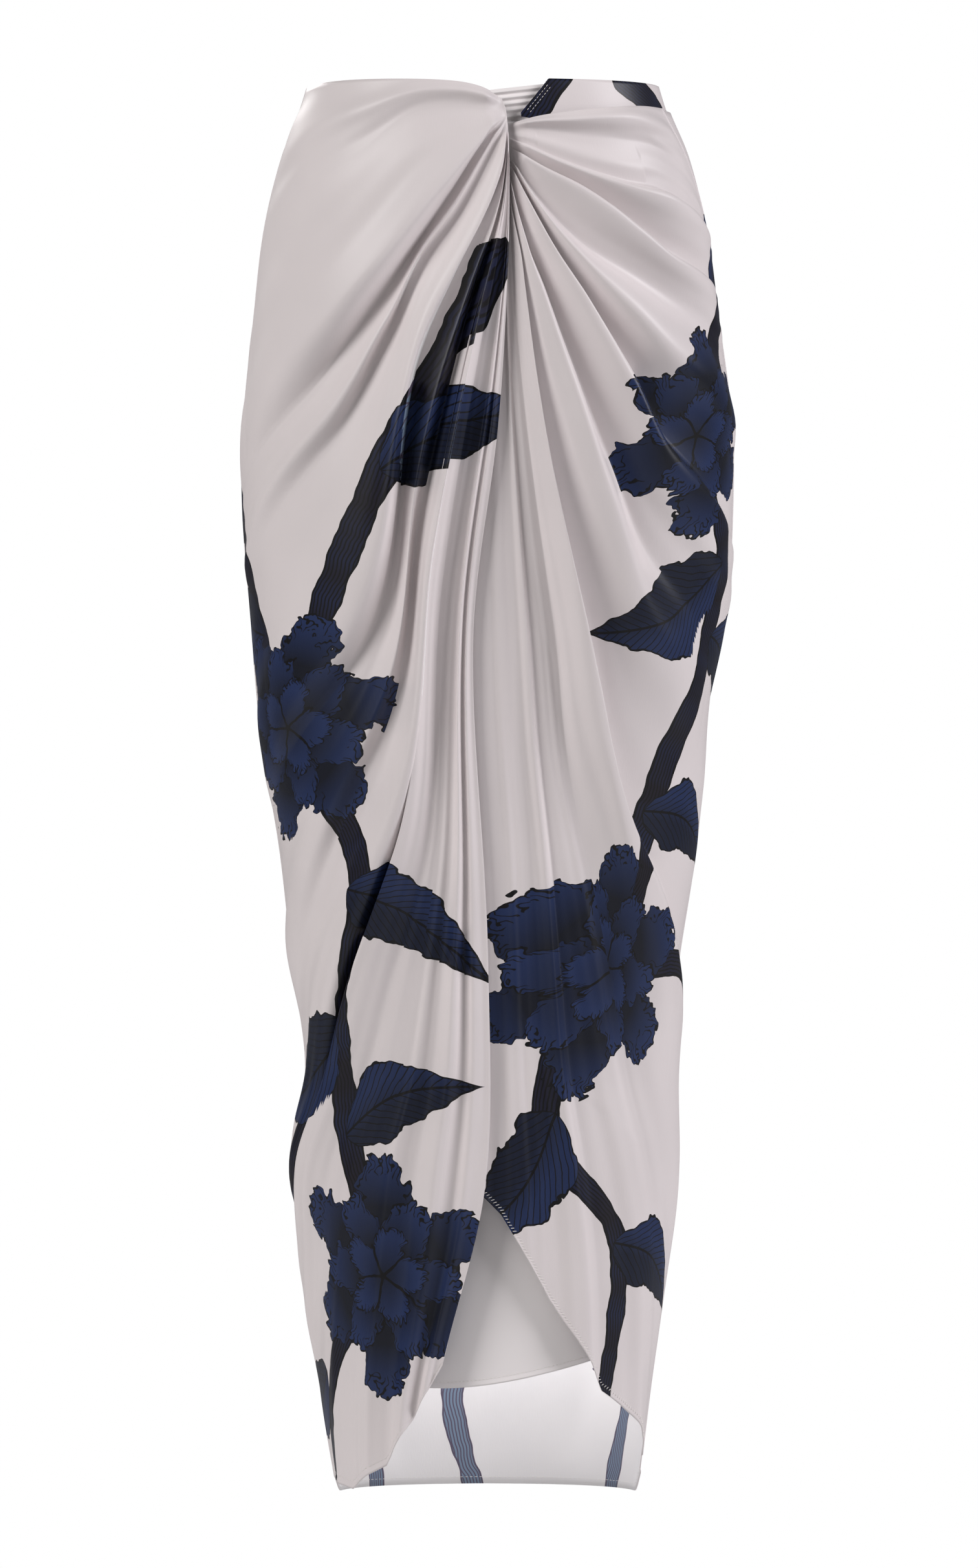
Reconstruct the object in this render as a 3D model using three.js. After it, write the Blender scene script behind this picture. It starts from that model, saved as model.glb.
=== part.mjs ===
import * as THREE from 'three';

// A wrap skirt, filled out as it is worn, with both fronts gathered into a twist at the waist.
// Millimetres, +Z up. The origin is the middle of the waistline, and the front faces -Y.
// Turn is the place round the form in degrees: 0 is the middle of the front, 90 is towards +X.

const WALL = 2;               // thickness of the cloth, measured level
const SEAM_GAP = 0.35;        // room between two pieces at a seam
const SQUARENESS = 0.03;      // how much fuller than an ellipse each section is
const MM_PER_DEGREE = 2.2;    // mean length of one degree round the form
const LINES_PER_FOLD = 4;     // lines across each gathered fold
const FOLD_ROWS = 22;         // rows along each gathered fold
const ROW_CROWDING = 1.2;     // above 1, rows lie closer together near the twist

const SIDE = 90;              // turn of the side seams
const BACK_END = 270;         // turn of the left side seam, counted round the back
const WAIST_TOP = 10;
const BAND_BOTTOM = -8;
const HEM = -967;
const SEAM_CALM = 9;          // degrees beside a side seam over which folds flatten out

// Half widths and depths of the worn skirt at each height.
const SECTIONS = [
  { z: -967, left: 105, right: 104, front: 78, back: 77 },
  { z: -900, left: 116, right: 112, front: 80, back: 78 },
  { z: -800, left: 126, right: 125, front: 83, back: 80 },
  { z: -735, left: 135, right: 127, front: 85, back: 81 },
  { z: -672, left: 127, right: 124, front: 87, back: 83 },
  { z: -600, left: 136, right: 132, front: 90, back: 87 },
  { z: -520, left: 145, right: 144, front: 94, back: 94 },
  { z: -440, left: 158, right: 149, front: 97, back: 102 },
  { z: -360, left: 165, right: 165, front: 101, back: 112 },
  { z: -280, left: 171, right: 170, front: 104, back: 123 },
  { z: -220, left: 170, right: 169, front: 104, back: 125 },
  { z: -150, left: 163, right: 160, front: 102, back: 119 },
  { z: -90, left: 156, right: 152, front: 98, back: 109 },
  { z: -40, left: 144, right: 140, front: 93, back: 98 },
  { z: -6, left: 131, right: 126, front: 87, back: 90 },
  { z: 10, left: 126, right: 121, front: 84, back: 86 },
];

// Creases of the over-wrap, each from the twist to the side seam or the hem, as [turn, z] points.
// Tall is the height of the fold after the crease near the twist, half way and at its end.
// Crest is where across the fold its top lies: low is steep first, high is steep last.
const RIGHT_CREASES = [
  { name: 'waist edge', path: [[4.2, -5], [-2, 3.3], [-11, 7.6], [-30, 9.6], [-54, 10], [-90, 9]],
    tall: [8, 4, 1], crest: 0.6 },
  { name: 'lobe', path: [[5.2, -11], [-0.6, -16], [-7.3, -26], [-17, -46], [-33, -84], [-90, -123]],
    tall: [9, 10, 5], crest: 0.75 },
  { name: 'hip', path: [[5.5, -16], [-1, -33], [-10, -72], [-26, -141], [-45, -207], [-90, -285]],
    tall: [5, 8, 4], crest: 0.6 },
  { name: 'thigh', path: [[5.6, -19], [0.6, -44], [-8, -97], [-19, -165], [-34, -240], [-90, -361]],
    tall: [8, 12, 5], crest: 0.7 },
  { name: 'long', path: [[5.6, -21.5], [3, -65], [-6, -125], [-17, -234], [-30, -381], [-90, -510]],
    tall: [6, 9, 4], crest: 0.6 },
  { name: 'knee', path: [[5.7, -23.5], [3.3, -76], [-4.4, -147], [-15, -284], [-27, -447], [-90, -672]],
    tall: [6, 9, 5], crest: 0.65 },
  { name: 'calf', path: [[5.7, -25.3], [3.5, -85], [-3, -161], [-12.4, -316], [-23, -514], [-90, -811]],
    tall: [7, 11, 6], crest: 0.25 },
  { name: 'corner', path: [[5.7, -27], [3.7, -91], [-1.8, -176], [-10.5, -337], [-20, -558], [-90, -955]],
    tall: [3, 5, 5], crest: 0.5 },
  { name: 'hem soft', path: [[5.8, -28.6], [3.9, -96], [-0.7, -185], [-8.8, -345], [-16, -560], [-58, -961]],
    tall: [3, 5, 6], crest: 0.5 },
  { name: 'inner hem', path: [[5.8, -30.2], [4.2, -101], [0.2, -193], [-7.2, -352], [-12, -563], [-37, -943]],
    tall: [4, 7, 7], crest: 0.5 },
  { name: 'ridge', path: [[5.8, -31.9], [4.5, -107], [1, -206], [-5.6, -361], [-7, -570], [-25, -910]],
    tall: [5, 9, 4], crest: 0.6 },
  { name: 'free edge', path: [[5.8, -33.6], [4.9, -115], [2.2, -230], [-3.6, -380], [0, -600], [-14.7, -873]],
    tall: [0, 0, 0], crest: 0.5 },
];

// Creases of the second wrap, from its hidden edge under the over-wrap up to its top edge.
const LEFT_CREASES = [
  { name: 'hidden edge', path: [[4.2, -69], [-1.5, -158], [-8, -270], [-13, -394], [-12, -580], [-10, -738]],
    tall: [1, 1, 1], crest: 0.5 },
  { name: 'inner soft', path: [[4.5, -65], [1.6, -151], [0, -257], [-0.6, -381], [2.6, -558], [4, -770]],
    tall: [1, 3, 5], crest: 0.5 },
  { name: 'outer soft', path: [[4.8, -62], [3.6, -150], [4.2, -257], [6.2, -381], [12, -558], [20, -829]],
    tall: [1, 4, 6], crest: 0.5 },
  { name: 'hem soft', path: [[5, -60], [5.2, -149], [6.8, -252], [10.4, -372], [19, -553], [42, -892]],
    tall: [1, 5, 6], crest: 0.5 },
  { name: 'corner', path: [[5.2, -58], [6.4, -142], [9.6, -250], [16, -372], [28, -530], [90, -941]],
    tall: [2, 4, 5], crest: 0.5 },
  { name: 'shin', path: [[5.3, -56], [7.4, -133], [12.5, -250], [25, -390], [40, -500], [90, -631]],
    tall: [8, 10, 4], crest: 0.25 },
  { name: 'soft knee', path: [[5.4, -54], [8.6, -116], [16, -217], [25.5, -312], [41, -412], [90, -528]],
    tall: [5, 8, 4], crest: 0.75 },
  { name: 'knee', path: [[5.4, -52], [9.4, -104], [18, -187], [28, -256], [41.5, -325], [90, -415]],
    tall: [5, 7, 4], crest: 0.5 },
  { name: 'soft thigh', path: [[5.4, -50], [10.2, -94], [20, -163], [30.5, -222], [43, -283], [90, -361]],
    tall: [6, 8, 5], crest: 0.78 },
  { name: 'thigh', path: [[5.5, -47.5], [11.6, -86], [22, -144], [32.5, -196], [44, -250], [90, -318]],
    tall: [5, 7, 3], crest: 0.6 },
  { name: 'soft hip', path: [[5.5, -45], [13.7, -75], [26, -120], [37, -155], [50, -189], [90, -226]],
    tall: [6, 7, 4], crest: 0.75 },
  { name: 'hip', path: [[5.5, -42], [16, -65], [27.3, -84], [36, -98], [49, -116], [90, -136]],
    tall: [4, 5, 2], crest: 0.6 },
  { name: 'soft waist', path: [[5.5, -39], [16.4, -55], [27.5, -69], [38, -80], [53, -91], [89, -104]],
    tall: [5, 4, 2], crest: 0.7 },
  { name: 'waist', path: [[5.5, -35], [14.5, -45], [24, -54], [34, -60], [47, -64], [84, -70]],
    tall: [5, 5, 2], crest: 0.6 },
  { name: 'soft top', path: [[5.5, -29], [15, -28], [24, -29], [34, -31], [46, -34], [76, -38]],
    tall: [4, 3, 1], crest: 0.5 },
  { name: 'top edge', path: [[5.5, -22.5], [15, -16.5], [26, -12.5], [40, -9], [54, -7], [70, -7]],
    tall: [0, 0, 0], crest: 0.5 },
];

// The right side seam leans forward above the hip. Each row is the end of one crease.
const SEAM_LEAN = [
  { z: -136, turn: 90 },
  { z: -104, turn: 89 },
  { z: -70, turn: 84 },
  { z: -38, turn: 76 },
  { z: -7, turn: 70 },
];

const TWIST_DIVE = 4.5;       // how far the gathers sink in at the twist
const TWIST_REACH = 14;       // length along the cloth over which they rise again
const OVERLAP_LIFT = 6;       // the over-wrap stands this far out where it covers the second wrap
const LIFT_START = -75;       // turn where the over-wrap starts to rise
const LIFT_FULL = -25;        // turn where it has its full lift

// Soft drag folds of the back, as ridges from one [turn, z] to another.
const BACK_RIDGES = [
  { from: [104, -150], to: [168, -420], wide: 24, tall: 5 },
  { from: [256, -190], to: [196, -470], wide: 26, tall: 5 },
  { from: [108, -330], to: [160, -640], wide: 26, tall: 6 },
  { from: [252, -360], to: [204, -700], wide: 26, tall: 6 },
  { from: [112, -560], to: [146, -930], wide: 24, tall: 6 },
  { from: [248, -600], to: [214, -940], wide: 24, tall: 6 },
  { from: [180, -620], to: [182, -960], wide: 22, tall: 5 },
];
const RIDGE_END_SHARE = 0.15;     // a ridge keeps this share of a half wave at each end
const RIDGE_END_FADE = 0.4;       // and this share of its height past its ends
const BACK_COLUMNS = 30;
const BACK_ROWS = 14;

// The inner wrap is sewn in at the right side seam and ends in a free edge at the left.
const UNDERLAP = { freeTurn: -48, seamTurn: 87.5, top: -27, seamHem: -858, lowHem: -890, lowShare: 0.22 };
const UNDERLAP_DEPTH = 11.1;
const UNDERLAP_SEAM_DEPTH = 2.9;
const UNDERLAP_SEAM_REACH = 18;   // degrees beside the seam over which it sinks to its full depth
const UNDERLAP_COLUMNS = 18;
const UNDERLAP_ROWS = 12;

// The waistband's slanted front end rises from the twist to the top, and its foot is tucked in.
const BAND_TIP = { turn: 10, top: -14, low: -17 };
const BAND_PEAK_TURN = 20;        // where the slanted end reaches the top
const BAND_FOOT = { start: 20, end: 56, clear: 66, low: -22 };
const BAND_INSET = { front: 2.7, back: 0.6, frontTurn: 76, backTurn: 120 };
const BAND_COLUMNS = 56;
const BAND_CROWDING = 1.25;       // above 1, columns lie closer together near the slanted end

// The tab's pleats run from behind the over-wrap's lobe out to behind the waistband's slanted end.
const TUCK = { pleats: 6, tall: 1.5, inset: 8.7 };
const TUCK_INNER = { turn: -4, top: 1, low: -27 };
const TUCK_OUTER = { topTurn: 25, top: 8, lowTurn: 15, low: -20 };
const TUCK_ROWS = 5;

// Value of a smooth curve through the given values at rising knots.
function smooth(knots, values, at) {
  const last = knots.length - 1;
  const place = THREE.MathUtils.clamp(at, knots[0], knots[last]);
  let k = 0;
  while (k < last - 1 && place > knots[k + 1]) k += 1;
  const slope = (i) => {
    const before = Math.max(i - 1, 0);
    const after = Math.min(i + 1, last);
    return (values[after] - values[before]) / (knots[after] - knots[before]);
  };
  const step = knots[k + 1] - knots[k];
  const u = (place - knots[k]) / step;
  const rise = values[k + 1] - values[k];
  const start = slope(k) * step;
  const end = slope(k + 1) * step;
  return values[k] + u * (start + u * (3 * rise - 2 * start - end + u * (start + end - 2 * rise)));
}

function columnOf(table, name) {
  return table.map((row) => row[name]);
}

const SECTION_HEIGHTS = columnOf(SECTIONS, 'z');
const SECTION_SIZES = Object.fromEntries(
  ['left', 'right', 'front', 'back'].map((name) => [name, columnOf(SECTIONS, name)]),
);

function halfSize(name, z) {
  return smooth(SECTION_HEIGHTS, SECTION_SIZES[name], z);
}

// Point of the form at a turn and height, moved out by a number of millimetres.
function onForm(turn, z, out = 0) {
  const angle = THREE.MathUtils.degToRad(turn);
  const across = Math.sin(angle);
  const ahead = Math.cos(angle);
  const wide = halfSize(across < 0 ? 'left' : 'right', z);
  const deep = halfSize(ahead > 0 ? 'front' : 'back', z);
  const full = 1 + SQUARENESS * Math.sin(2 * angle) ** 2;
  const outward = new THREE.Vector3(across / wide, -ahead / deep, 0).normalize();
  return new THREE.Vector3(wide * across * full, -deep * ahead * full, z).addScaledVector(outward, out);
}

function rightSeamTurn(z) {
  const above = SEAM_LEAN.findIndex((row) => row.z > z);
  if (above === 0) return SIDE;
  if (above < 0) return SEAM_LEAN[SEAM_LEAN.length - 1].turn;
  const low = SEAM_LEAN[above - 1];
  const high = SEAM_LEAN[above];
  return THREE.MathUtils.mapLinear(z, low.z, high.z, low.turn, high.turn);
}

// Share of a fold's height that is left beside a side seam.
function calmBySeam(turn, z) {
  const toLeft = turn + SIDE;
  const toRight = rightSeamTurn(z) - turn;
  return THREE.MathUtils.smoothstep(Math.min(toLeft, toRight), 0, SEAM_CALM);
}

// A crease as a function of s, which runs from 0 at the twist to 1 at its end.
function creaseLine({ path }) {
  const turns = path.map((point) => point[0]);
  const heights = path.map((point) => point[1]);
  const knots = [0];
  for (let i = 1; i < path.length; i += 1) {
    const span = Math.hypot((turns[i] - turns[i - 1]) * MM_PER_DEGREE, heights[i] - heights[i - 1]);
    knots.push(knots[i - 1] + span);
  }
  const length = knots[path.length - 1];
  const at = (s) => ({ turn: smooth(knots, turns, s * length), z: smooth(knots, heights, s * length) });
  return { length, at };
}

// Height across one fold, 0 at both creases and 1 at the crest.
function foldShape(f, crest) {
  const phase = f < crest ? f / crest : (1 - f) / (1 - crest);
  return (1 - Math.cos(Math.PI * phase)) / 2;
}

// Places across all folds of a table: four lines a fold, one of them on its crest.
function linesAcross(creases) {
  const lines = [];
  for (let fold = 0; fold < creases.length - 1; fold += 1) {
    const { crest } = creases[fold];
    const near = LINES_PER_FOLD / 2;
    for (let i = 0; i < near; i += 1) lines.push({ fold, f: (crest * i) / near });
    for (let i = 0; i < near; i += 1) lines.push({ fold, f: crest + ((1 - crest) * i) / near });
  }
  lines.push({ fold: creases.length - 2, f: 1 });
  return lines;
}

// Grid of places over a gathered panel, one row for each step away from the twist.
function gatheredGrid(creases, rowCount, liftAt) {
  const curves = creases.map(creaseLine);
  const lines = linesAcross(creases);
  const rows = [];
  for (let row = 0; row <= rowCount; row += 1) {
    const s = (row / rowCount) ** ROW_CROWDING;
    rows.push(lines.map(({ fold, f }) => {
      const a = curves[fold].at(s);
      const b = curves[fold + 1].at(s);
      const turn = a.turn + (b.turn - a.turn) * f;
      const z = a.z + (b.z - a.z) * f;
      const width = Math.hypot((b.turn - a.turn) * MM_PER_DEGREE, b.z - a.z);
      const tall = smooth([0, 0.5, 1], creases[fold].tall, s);
      const height = (tall * width) / (tall + width + WALL);
      const fromTwist = s * (curves[fold].length + (curves[fold + 1].length - curves[fold].length) * f);
      const risen = THREE.MathUtils.smoothstep(fromTwist, 0, TWIST_REACH);
      const relief = height * foldShape(f, creases[fold].crest) * calmBySeam(turn, z) * risen;
      return { turn, z, out: liftAt(turn) + relief - TWIST_DIVE * (1 - risen) };
    }));
  }
  return rows;
}

// Six times the volume inside a list of triangles, negative when they face inward.
function signedVolume(positions, indices) {
  const corner = (i) => new THREE.Vector3().fromArray(positions, 3 * i);
  let sum = 0;
  for (let i = 0; i < indices.length; i += 3) {
    const [a, b, c] = indices.slice(i, i + 3).map(corner);
    sum += a.dot(b.cross(c));
  }
  return sum;
}

// One closed wall of cloth from a grid of places, whose out values are its outer face.
function clothWall(grid) {
  const columnCount = grid[0].length;
  const places = grid.flat();
  const outer = places.map(({ turn, z, out }) => onForm(turn, z, out));
  const inner = places.map(({ turn, z, out }) => onForm(turn, z, out - WALL));
  const positions = [...outer, ...inner].flatMap((point) => point.toArray());
  const indices = [];
  const quad = (a, b, c, d) => indices.push(a, b, c, a, c, d);
  const under = outer.length;
  for (let i = 0; i < grid.length - 1; i += 1) {
    for (let j = 0; j < columnCount - 1; j += 1) {
      const a = i * columnCount + j;
      const [b, c, d] = [a + columnCount, a + columnCount + 1, a + 1];
      quad(a, b, c, d);
      quad(under + a, under + d, under + c, under + b);
    }
  }
  const rim = rimOf(grid.length, columnCount);
  rim.forEach((a, k) => {
    const b = rim[(k + 1) % rim.length];
    quad(a, under + a, under + b, b);
  });
  if (signedVolume(positions, indices) < 0) indices.reverse();
  const geometry = new THREE.BufferGeometry();
  geometry.setAttribute('position', new THREE.Float32BufferAttribute(positions, 3));
  geometry.setIndex(indices);
  geometry.computeVertexNormals();
  return geometry;
}

// Numbers of the points round the edge of a grid, in the order that keeps the faces outward.
function rimOf(rowCount, columnCount) {
  const rim = [];
  for (let i = 0; i < rowCount - 1; i += 1) rim.push(i * columnCount);
  for (let j = 0; j < columnCount - 1; j += 1) rim.push((rowCount - 1) * columnCount + j);
  for (let i = rowCount - 1; i > 0; i -= 1) rim.push(i * columnCount + columnCount - 1);
  for (let j = columnCount - 1; j > 0; j -= 1) rim.push(j);
  return rim;
}

// Grid whose rows and columns are evenly spread, from a function of both shares.
function evenGrid(rowCount, columnCount, pointAt) {
  const rows = [];
  for (let i = 0; i <= rowCount; i += 1) {
    const row = [];
    for (let j = 0; j <= columnCount; j += 1) row.push(pointAt(i / rowCount, j / columnCount));
    rows.push(row);
  }
  return rows;
}

// Turn that stands for a length along the form at a height.
function degreesFor(millimetres) {
  return millimetres / MM_PER_DEGREE;
}

function rightFront() {
  const lift = (turn) => OVERLAP_LIFT * THREE.MathUtils.smoothstep(turn, LIFT_START, LIFT_FULL);
  return clothWall(gatheredGrid(RIGHT_CREASES, FOLD_ROWS, lift));
}

function leftFront() {
  return clothWall(gatheredGrid(LEFT_CREASES, FOLD_ROWS, () => 0));
}

// Height of one back ridge at a place on the back.
function ridgeHeight({ from, to, wide, tall }, turn, z) {
  const alongTurn = (to[0] - from[0]) * MM_PER_DEGREE;
  const alongZ = to[1] - from[1];
  const length = Math.hypot(alongTurn, alongZ);
  const x = (turn - from[0]) * MM_PER_DEGREE;
  const y = z - from[1];
  const share = THREE.MathUtils.clamp((x * alongTurn + y * alongZ) / length ** 2, 0, 1);
  const away = Math.abs(x * alongZ - y * alongTurn) / length;
  const wave = Math.sin(Math.PI * Math.min(share + RIDGE_END_SHARE, 1 - RIDGE_END_SHARE));
  const fade = wave * (share > 0 && share < 1 ? 1 : RIDGE_END_FADE);
  return tall * fade * Math.exp(-((away / wide) ** 2));
}

// Heights of the back's rows: its top, the corners of the leaning seam, then even steps to the hem.
function backHeights() {
  const corners = columnOf(SEAM_LEAN, 'z').reverse().slice(1);
  const last = corners[corners.length - 1];
  const even = Array.from({ length: BACK_ROWS }, (_, i) => last + ((HEM - last) * (i + 1)) / BACK_ROWS);
  return [BAND_BOTTOM - SEAM_GAP, ...corners, ...even];
}

function back() {
  const gap = degreesFor(SEAM_GAP);
  const heights = backHeights();
  return clothWall(evenGrid(heights.length - 1, BACK_COLUMNS, (down, round) => {
    const z = heights[Math.round(down * (heights.length - 1))];
    const start = rightSeamTurn(z) + gap;
    const turn = start + (BACK_END - gap - start) * round;
    const fromSeam = Math.min(turn - start, BACK_END - gap - turn);
    const calm = THREE.MathUtils.smoothstep(fromSeam, 0, 2 * SEAM_CALM);
    const relief = BACK_RIDGES.reduce((sum, ridge) => sum + ridgeHeight(ridge, turn, z), 0);
    return { turn, z, out: relief * calm };
  }));
}

function underlap() {
  const { freeTurn, seamTurn, top, seamHem, lowHem, lowShare } = UNDERLAP;
  return clothWall(evenGrid(UNDERLAP_ROWS, UNDERLAP_COLUMNS, (down, round) => {
    const hem = lowHem + (seamHem - lowHem) * THREE.MathUtils.smoothstep(round, lowShare, 1);
    const z = top + (hem - top) * down;
    const end = rightSeamTurn(z) + seamTurn - SIDE;
    const turn = freeTurn + (end - freeTurn) * round;
    const sewn = THREE.MathUtils.smoothstep(end - turn, 0, UNDERLAP_SEAM_REACH);
    const depth = UNDERLAP_SEAM_DEPTH + (UNDERLAP_DEPTH - UNDERLAP_SEAM_DEPTH) * sewn;
    return { turn, z, out: -depth };
  }));
}

function waistband() {
  const { lerp, smoothstep, clamp } = THREE.MathUtils;
  const end = BACK_END - degreesFor(SEAM_GAP);
  return clothWall(evenGrid(1, BAND_COLUMNS, (down, round) => {
    const turn = lerp(BAND_TIP.turn, end, round ** BAND_CROWDING);
    const rise = clamp((turn - BAND_TIP.turn) / (BAND_PEAK_TURN - BAND_TIP.turn), 0, 1);
    const top = lerp(BAND_TIP.top, WAIST_TOP, rise);
    const foot = lerp(BAND_TIP.low, BAND_FOOT.low, smoothstep(turn, BAND_TIP.turn, BAND_FOOT.start));
    const bottom = lerp(foot, BAND_BOTTOM, smoothstep(turn, BAND_FOOT.end, BAND_FOOT.clear));
    const { front, back: behind, frontTurn, backTurn } = BAND_INSET;
    const inset = lerp(front, behind, smoothstep(turn, frontTurn, backTurn));
    return { turn, z: lerp(top, bottom, down), out: -inset };
  }));
}

function waistTuck() {
  const { lerp } = THREE.MathUtils;
  const columns = TUCK.pleats * LINES_PER_FOLD;
  return clothWall(evenGrid(TUCK_ROWS, columns, (outward, down) => {
    const innerZ = lerp(TUCK_INNER.top, TUCK_INNER.low, down);
    const outerZ = lerp(TUCK_OUTER.top, TUCK_OUTER.low, down);
    const outerTurn = lerp(TUCK_OUTER.topTurn, TUCK_OUTER.lowTurn, down);
    const pleat = (1 - Math.cos(2 * Math.PI * TUCK.pleats * down)) / 2;
    return {
      turn: lerp(TUCK_INNER.turn, outerTurn, outward),
      z: lerp(innerZ, outerZ, outward),
      out: pleat * TUCK.tall - TUCK.inset,
    };
  }));
}

function cloth(color, roughness) {
  return new THREE.MeshStandardMaterial({ color, roughness, metalness: 0, side: THREE.DoubleSide });
}

function sewn(name, geometry, material) {
  const mesh = new THREE.Mesh(geometry, material);
  mesh.name = name;
  return mesh;
}

const satin = cloth('#cec8c8', 0.45);
const lining = cloth('#c9c0be', 0.7);

const skirt = new THREE.Group();
skirt.add(
  sewn('right_front', rightFront(), satin),
  sewn('left_front', leftFront(), satin),
  sewn('back', back(), satin),
  sewn('underlap', underlap(), lining),
  sewn('waistband', waistband(), lining),
  sewn('waist_tuck', waistTuck(), satin),
);

export default skirt;
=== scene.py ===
import math

import bpy
import numpy as np
from bpy.props import FloatProperty, FloatVectorProperty, PointerProperty
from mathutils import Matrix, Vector


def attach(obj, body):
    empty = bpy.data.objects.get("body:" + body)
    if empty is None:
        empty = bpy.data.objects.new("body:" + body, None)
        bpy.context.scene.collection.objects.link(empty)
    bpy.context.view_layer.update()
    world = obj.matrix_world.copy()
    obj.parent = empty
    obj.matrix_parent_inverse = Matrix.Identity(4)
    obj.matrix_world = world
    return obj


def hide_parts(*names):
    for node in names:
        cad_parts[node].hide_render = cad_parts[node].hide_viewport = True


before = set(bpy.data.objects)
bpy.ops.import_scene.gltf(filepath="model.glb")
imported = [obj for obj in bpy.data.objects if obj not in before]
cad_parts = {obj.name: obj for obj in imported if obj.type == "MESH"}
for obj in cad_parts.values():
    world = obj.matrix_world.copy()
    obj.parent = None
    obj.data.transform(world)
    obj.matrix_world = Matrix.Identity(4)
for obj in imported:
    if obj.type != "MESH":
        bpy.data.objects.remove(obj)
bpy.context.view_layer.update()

bl_info = {
    "name": "Wrap Skirt",
    "version": (1, 0, 0),
    "blender": (4, 5, 0),
    "location": "3D View > Sidebar > Skirt",
    "description": "Builds a worn satin wrap skirt whose fronts are gathered into a twist at the waist",
    "category": "Object",
}

# Places are in millimetres and degrees round the form, and become metres when a mesh is written.
MM = 0.001
BODY = "root"

# The form that the cloth hangs on: half widths and depths at each height.
# Columns: z, left, right, front, back.
SECTIONS = (
    (-967, 105, 104, 78, 77),
    (-900, 116, 112, 80, 78),
    (-800, 126, 125, 83, 80),
    (-735, 135, 127, 85, 81),
    (-672, 127, 124, 87, 83),
    (-600, 136, 132, 90, 87),
    (-520, 145, 144, 94, 94),
    (-440, 158, 149, 97, 102),
    (-360, 165, 165, 101, 112),
    (-280, 171, 170, 104, 123),
    (-220, 170, 169, 104, 125),
    (-150, 163, 160, 102, 119),
    (-90, 156, 152, 98, 109),
    (-40, 144, 140, 93, 98),
    (-6, 131, 126, 87, 90),
    (10, 126, 121, 84, 86),
)
Z, LEFT, RIGHT, FRONT, BACK = range(5)
SQUARENESS = 0.03
MM_PER_DEGREE = 2.2
SIDE, BACK_END = 90, 270
WAIST_TOP, BAND_BOTTOM, HEM = 10, -8, -967
SEAM_GAP = 0.35
SEAM_CALM = 9
SEAM_LEAN = ((-136, 90), (-104, 89), (-70, 84), (-38, 76), (-7, 70))

# Creases of the over wrap, from the waist edge round to the free edge.
# Columns: path as (turn, z), height of the fold after it near the twist, half way and at its end,
# share of its width where its crest lies, and how far the crest leans over its steep side.
RIGHT_CREASES = (
    (((4.2, -5), (-2, 3.3), (-11, 7.6), (-30, 9.6), (-54, 10), (-90, 9)), (7, 4, 1), 0.35, -1),
    (((5.2, -11), (-0.6, -12.5), (-10, -11), (-22.5, -16), (-37, -44), (-90, -112)), (9, 26, 3), 0.8, 3),
    (((5.5, -16), (-1, -33), (-10, -72), (-26, -141), (-45, -207), (-90, -285)), (8, 16, 2), 0.66, 2),
    (((5.6, -19), (0.6, -41), (-8, -84), (-17, -119), (-24, -168), (-38, -244), (-90, -361)), (11, 30, 3), 0.82, 3),
    (((5.6, -21.5), (3.2, -58), (-8.2, -127), (-16, -184), (-30, -381), (-90, -510)), (6, 14, 4), 0.66, 2),
    (((5.7, -23.5), (3.3, -76), (-4.4, -147), (-15, -284), (-27, -447), (-90, -672)), (9, 24, 6), 0.78, 2.5),
    (((5.7, -25.3), (3.5, -85), (-3, -161), (-12.4, -316), (-23, -514), (-90, -811)), (8, 18, 8), 0.2, -3),
    (((5.7, -27), (3.7, -91), (-1.8, -176), (-10.5, -337), (-20, -558), (-90, -955)), (0, 0.5, 1), 0.5, 0),
    (((5.8, -28.6), (3.9, -96), (-0.7, -185), (-8.8, -345), (-16, -560), (-58, -961)), (0, 0.5, 4), 0.6, 0),
    (((5.8, -30.2), (4.2, -101), (0.2, -193), (-7.2, -352), (-12, -563), (-37, -943)), (4, 11, 10), 0.6, 1),
    (((5.8, -31.9), (4.5, -107), (1, -206), (-5.6, -361), (-6.5, -570), (-10, -752), (-25, -910)), (1, 4, 4), 0.4, 0),
    (((5.8, -33.6), (4.9, -115), (2.2, -230), (-3.6, -380), (0, -600), (-1, -752), (-14.7, -873)), (0, 0, 0), 0.5, 0),
)
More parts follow.
